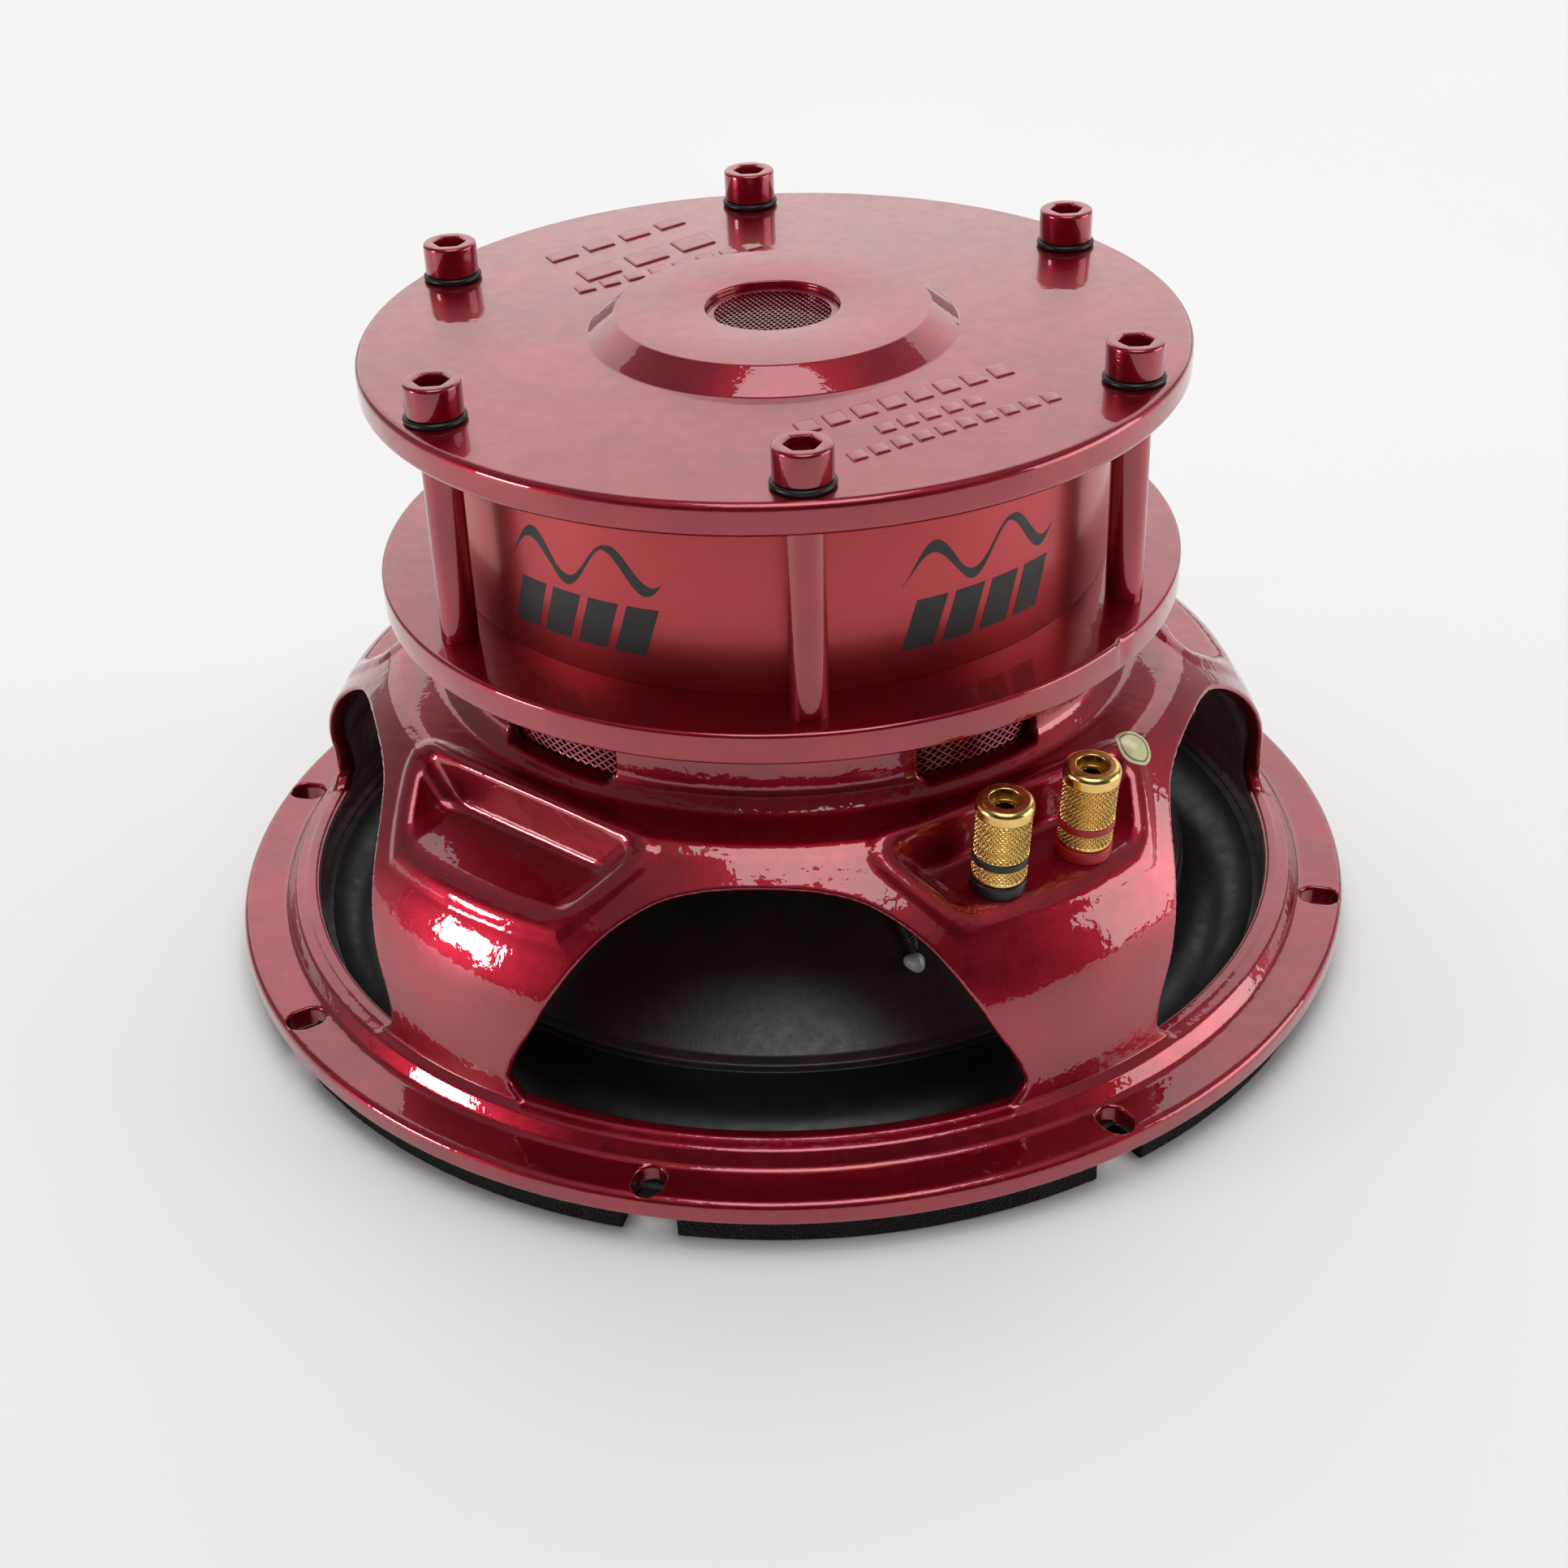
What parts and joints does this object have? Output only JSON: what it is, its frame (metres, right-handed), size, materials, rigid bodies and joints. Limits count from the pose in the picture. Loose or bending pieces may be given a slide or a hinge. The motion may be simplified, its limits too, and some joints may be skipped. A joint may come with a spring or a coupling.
{
  "type": "car subwoofer speaker",
  "caption": "Car subwoofer driver standing on its front gasket: cast basket with arched windows, moving cone, vented double-magnet motor, knurled binding posts.",
  "frame": {"origin": "centre of the gasket front face, on the axis of the cone", "axes": "+Z along the axis from the front gasket to the motor, the driver standing face down; the middle of one basket window faces -Y"},
  "size_m": [0.264, 0.264, 0.1537],
  "materials": {
    "candy_red_cast": "clearcoat gloss over a metallic base",
    "candy_red_steel": "clearcoat gloss over a metallic base",
    "ferrite": "ground",
    "anodised_red": "satin",
    "red_mesh": "gloss",
    "black_rubber": "satin",
    "black_steel": "blackened",
    "treated_cloth": "matt",
    "foam_rubber": "matt",
    "gold_foil": "gloss",
    "black_paper": "semi-gloss",
    "coil_former": "bright",
    "copper_wire": "varnished",
    "tinsel_braid": "braided",
    "cement": "gloss",
    "black_plastic": "satin",
    "red_plastic": "satin",
    "gold_plate": "polished",
    "tinned_brass": "dull"
  },
  "bodies": {
    "frame": {"basket": "candy_red_cast", "front_plate": "candy_red_steel", "magnet_front": "ferrite", "magnet_rear": "ferrite", "magnet_cover": "anodised_red", "back_plate": "candy_red_steel", "vent_screen": "red_mesh", "cap_screws": "candy_red_steel", "o_rings": "black_rubber", "neck_screen": "red_mesh", "plate_screws": "black_steel", "spider": "treated_cloth", "surround": "foam_rubber", "gasket_1": "foam_rubber", "gasket_2": "foam_rubber", "gasket_3": "foam_rubber", "gasket_4": "foam_rubber", "gasket_5": "foam_rubber", "gasket_6": "foam_rubber", "gasket_7": "foam_rubber", "gasket_8": "foam_rubber", "origin_sticker": "gold_foil", "lead_black": "tinsel_braid", "lead_red": "tinsel_braid", "post_base_black": "black_plastic", "post_stud_black": "gold_plate", "post_washer_black": "black_plastic", "post_nut_black": "gold_plate", "post_lug_black": "tinned_brass", "post_base_red": "red_plastic", "post_stud_red": "gold_plate", "post_washer_red": "black_plastic", "post_nut_red": "gold_plate", "post_lug_red": "tinned_brass"},
    "cone": {"cone": "black_paper", "dust_cap": "black_paper", "coil_former": "coil_former", "voice_coil": "copper_wire", "lead_pad_black": "cement", "lead_pad_red": "cement"},
    "band_black": {"knob_band_black": "black_plastic"},
    "knob_black": {"knob_black": "gold_plate"},
    "band_red": {"knob_band_red": "red_plastic"},
    "knob_red": {"knob_red": "gold_plate"}
  },
  "joints": [
    {"name": "cone_stroke", "type": "slide", "parent": "frame", "child": "cone", "axis": [0, 0, 1], "range_m": [-0.01, 0.01], "stiffness_N_per_m": 4200, "springref_m": 0.0005, "deforming": ["spider", "surround", "lead_black", "lead_red"]},
    {"name": "band_black_rise", "type": "slide", "parent": "frame", "child": "band_black", "axis": [0.0563, -0.0775, 0.9954], "range_m": [0, 0.004]},
    {"name": "knob_black_turn", "type": "hinge", "parent": "band_black", "child": "knob_black", "pos_m": [0.04796, -0.0849, 0.06357], "axis": [0.0563, -0.0775, 0.9954], "range_deg": [0, 1440]},
    {"name": "band_red_rise", "type": "slide", "parent": "frame", "child": "band_red", "axis": [0.0563, -0.0775, 0.9954], "range_m": [0, 0.004]},
    {"name": "knob_red_turn", "type": "hinge", "parent": "band_red", "child": "knob_red", "pos_m": [0.06592, -0.07185, 0.06357], "axis": [0.0563, -0.0775, 0.9954], "range_deg": [0, 1440]}
  ],
  "couplings": [
    {"joint": "knob_black_turn", "follows": "band_black_rise", "rad_per_m": 6283.2},
    {"joint": "knob_red_turn", "follows": "band_red_rise", "rad_per_m": 6283.2}
  ]
}
